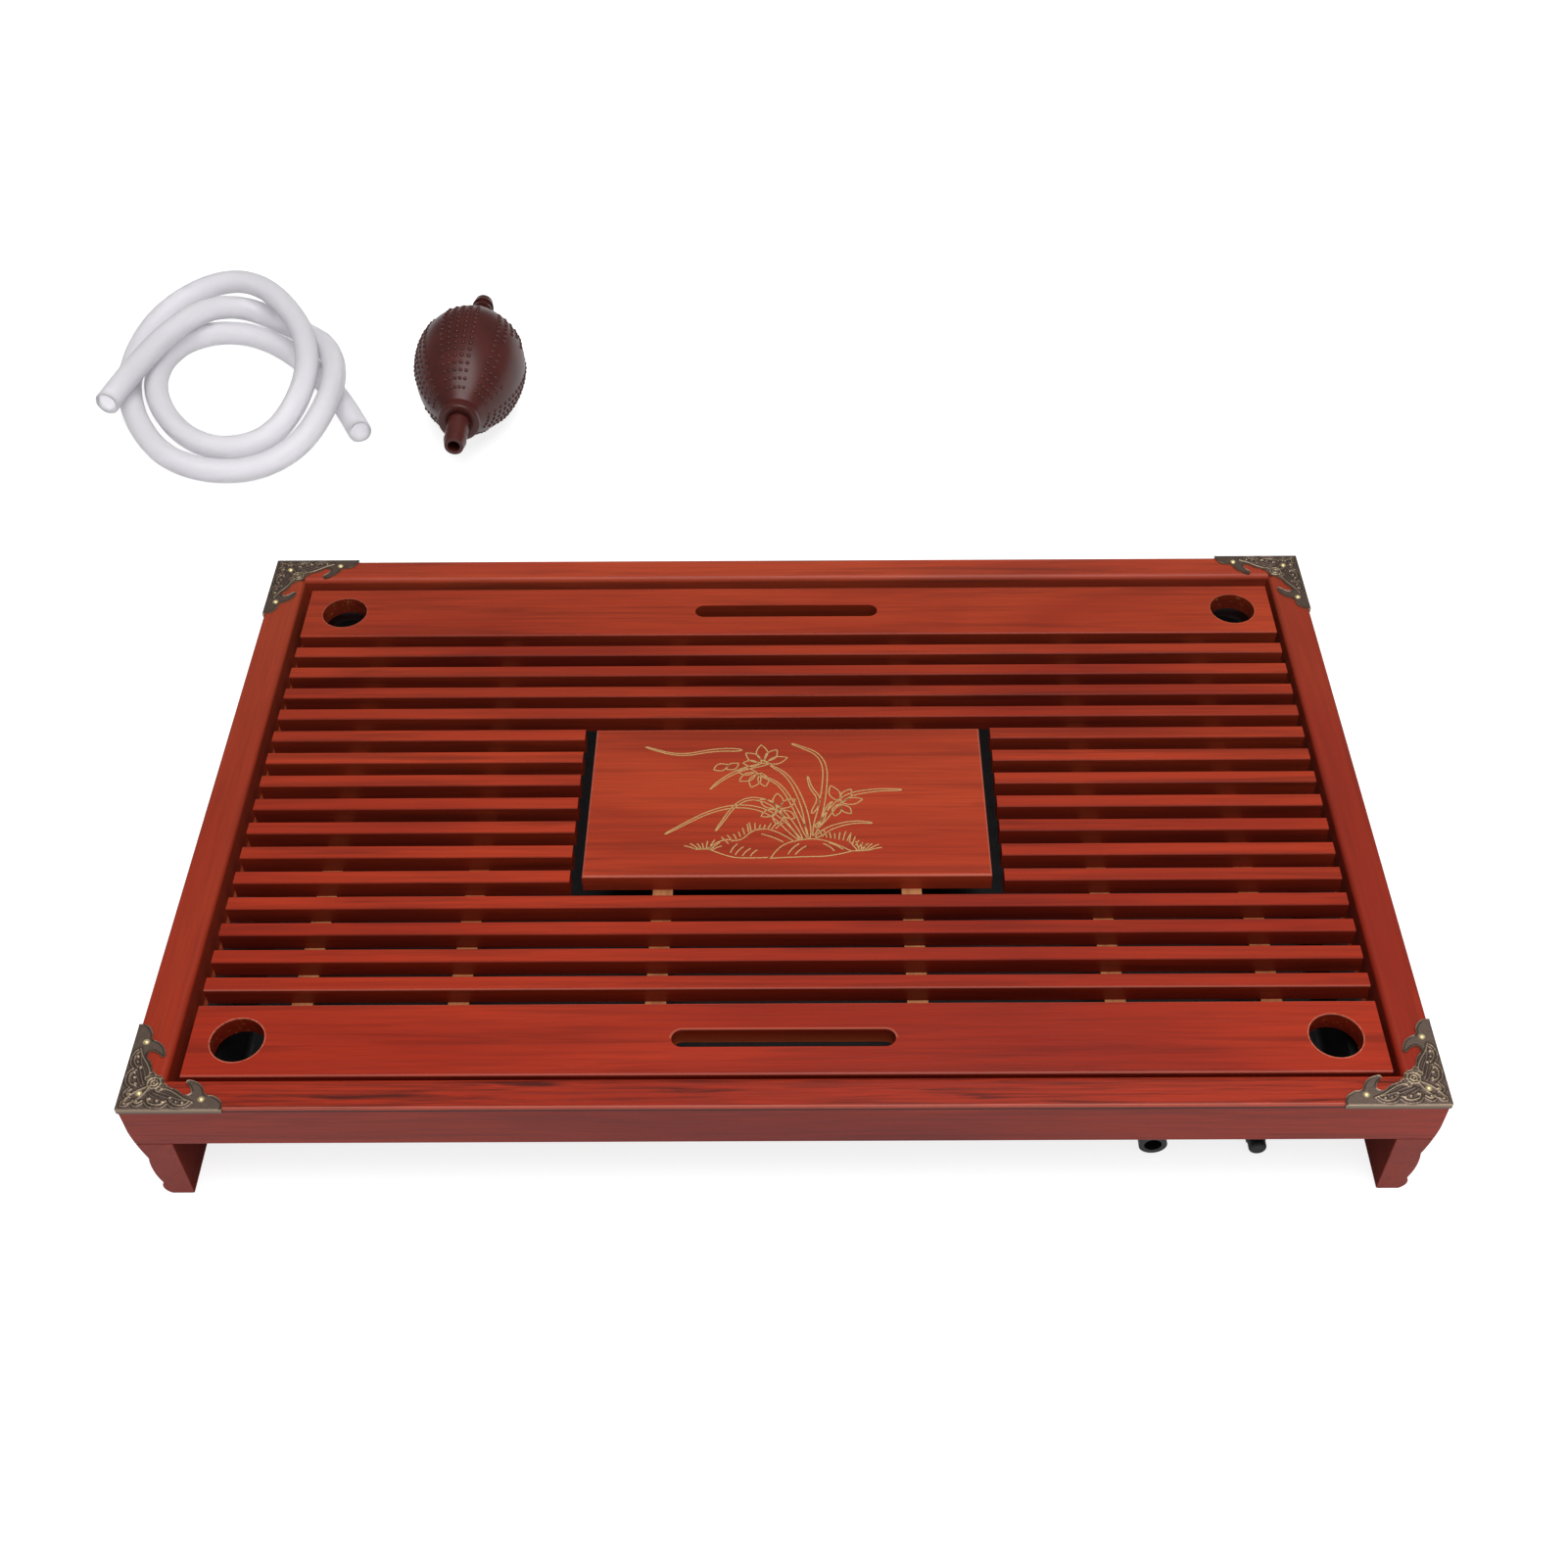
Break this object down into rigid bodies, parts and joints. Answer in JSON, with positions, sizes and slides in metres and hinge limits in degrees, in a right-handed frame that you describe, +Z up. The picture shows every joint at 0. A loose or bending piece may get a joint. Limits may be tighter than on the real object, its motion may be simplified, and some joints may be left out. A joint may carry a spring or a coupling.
{
  "type": "gongfu tea tray",
  "caption": "Slatted tea tray in red lacquered wood with brass corner mounts, a lift-out deck over a water pan with a drain, and a loose hose and suction bulb.",
  "frame": {"origin": "centre of the tray on the surface that its feet stand on", "axes": "+Z up, +X to the right along the tray, -Y towards the front edge with the outlets"},
  "size_m": [0.7843, 0.7858, 0.075],
  "materials": {
    "lacquered_wood": "satin",
    "batten_wood": "matte",
    "antique_brass": "satin",
    "nail_brass": "polished",
    "screw_steel": "satin",
    "black_plastic": "satin",
    "black_rubber": "matte",
    "milky_silicone": "satin",
    "brown_rubber": "satin"
  },
  "bodies": {
    "frame": {"back_cleat": "batten_wood", "back_rail": "lacquered_wood", "bulb_back_nipple": "brown_rubber", "bulb_front_nipple": "brown_rubber", "cleat_screws": "screw_steel", "corner_mount_back_left": "antique_brass", "corner_mount_back_right": "antique_brass", "corner_mount_front_left": "antique_brass", "corner_mount_front_right": "antique_brass", "corner_mount_nails": "nail_brass", "drain_hose": "milky_silicone", "front_cleat": "batten_wood", "front_rail": "lacquered_wood", "left_cleat": "batten_wood", "left_end_board": "lacquered_wood", "right_cleat": "batten_wood", "right_end_board": "lacquered_wood", "suction_bulb": "brown_rubber"},
    "pan": {"water_pan": "black_plastic", "drain_elbow": "black_plastic", "drain_seal": "black_rubber", "drain_nut": "black_plastic", "spare_elbow": "black_plastic", "spare_seal": "black_rubber", "spare_nut": "black_plastic"},
    "plug": {"outlet_plug": "black_rubber"},
    "deck": {"back_slat_1": "lacquered_wood", "back_slat_2": "lacquered_wood", "back_slat_3": "lacquered_wood", "back_slat_4": "lacquered_wood", "centre_plate": "lacquered_wood", "deck_back_board": "lacquered_wood", "deck_batten_1": "batten_wood", "deck_batten_2": "batten_wood", "deck_batten_3": "batten_wood", "deck_batten_4": "batten_wood", "deck_batten_5": "batten_wood", "deck_batten_6": "batten_wood", "deck_front_board": "lacquered_wood", "deck_screws": "screw_steel", "front_slat_1": "lacquered_wood", "front_slat_2": "lacquered_wood", "front_slat_3": "lacquered_wood", "front_slat_4": "lacquered_wood", "left_short_slat_1": "lacquered_wood", "left_short_slat_2": "lacquered_wood", "left_short_slat_3": "lacquered_wood", "left_short_slat_4": "lacquered_wood", "left_short_slat_5": "lacquered_wood", "left_short_slat_6": "lacquered_wood", "left_short_slat_7": "lacquered_wood", "right_short_slat_1": "lacquered_wood", "right_short_slat_2": "lacquered_wood", "right_short_slat_3": "lacquered_wood", "right_short_slat_4": "lacquered_wood", "right_short_slat_5": "lacquered_wood", "right_short_slat_6": "lacquered_wood", "right_short_slat_7": "lacquered_wood"}
  },
  "joints": [
    {"name": "pan_lift", "type": "slide", "parent": "frame", "child": "pan", "axis": [0, 0, 1], "range_m": [0, 0.09]},
    {"name": "deck_lift", "type": "slide", "parent": "pan", "child": "deck", "axis": [0, 0, 1], "range_m": [0, 0.06]},
    {"name": "plug_pull", "type": "slide", "parent": "pan", "child": "plug", "axis": [0, -1, 0], "range_m": [0, 0.015]}
  ]
}
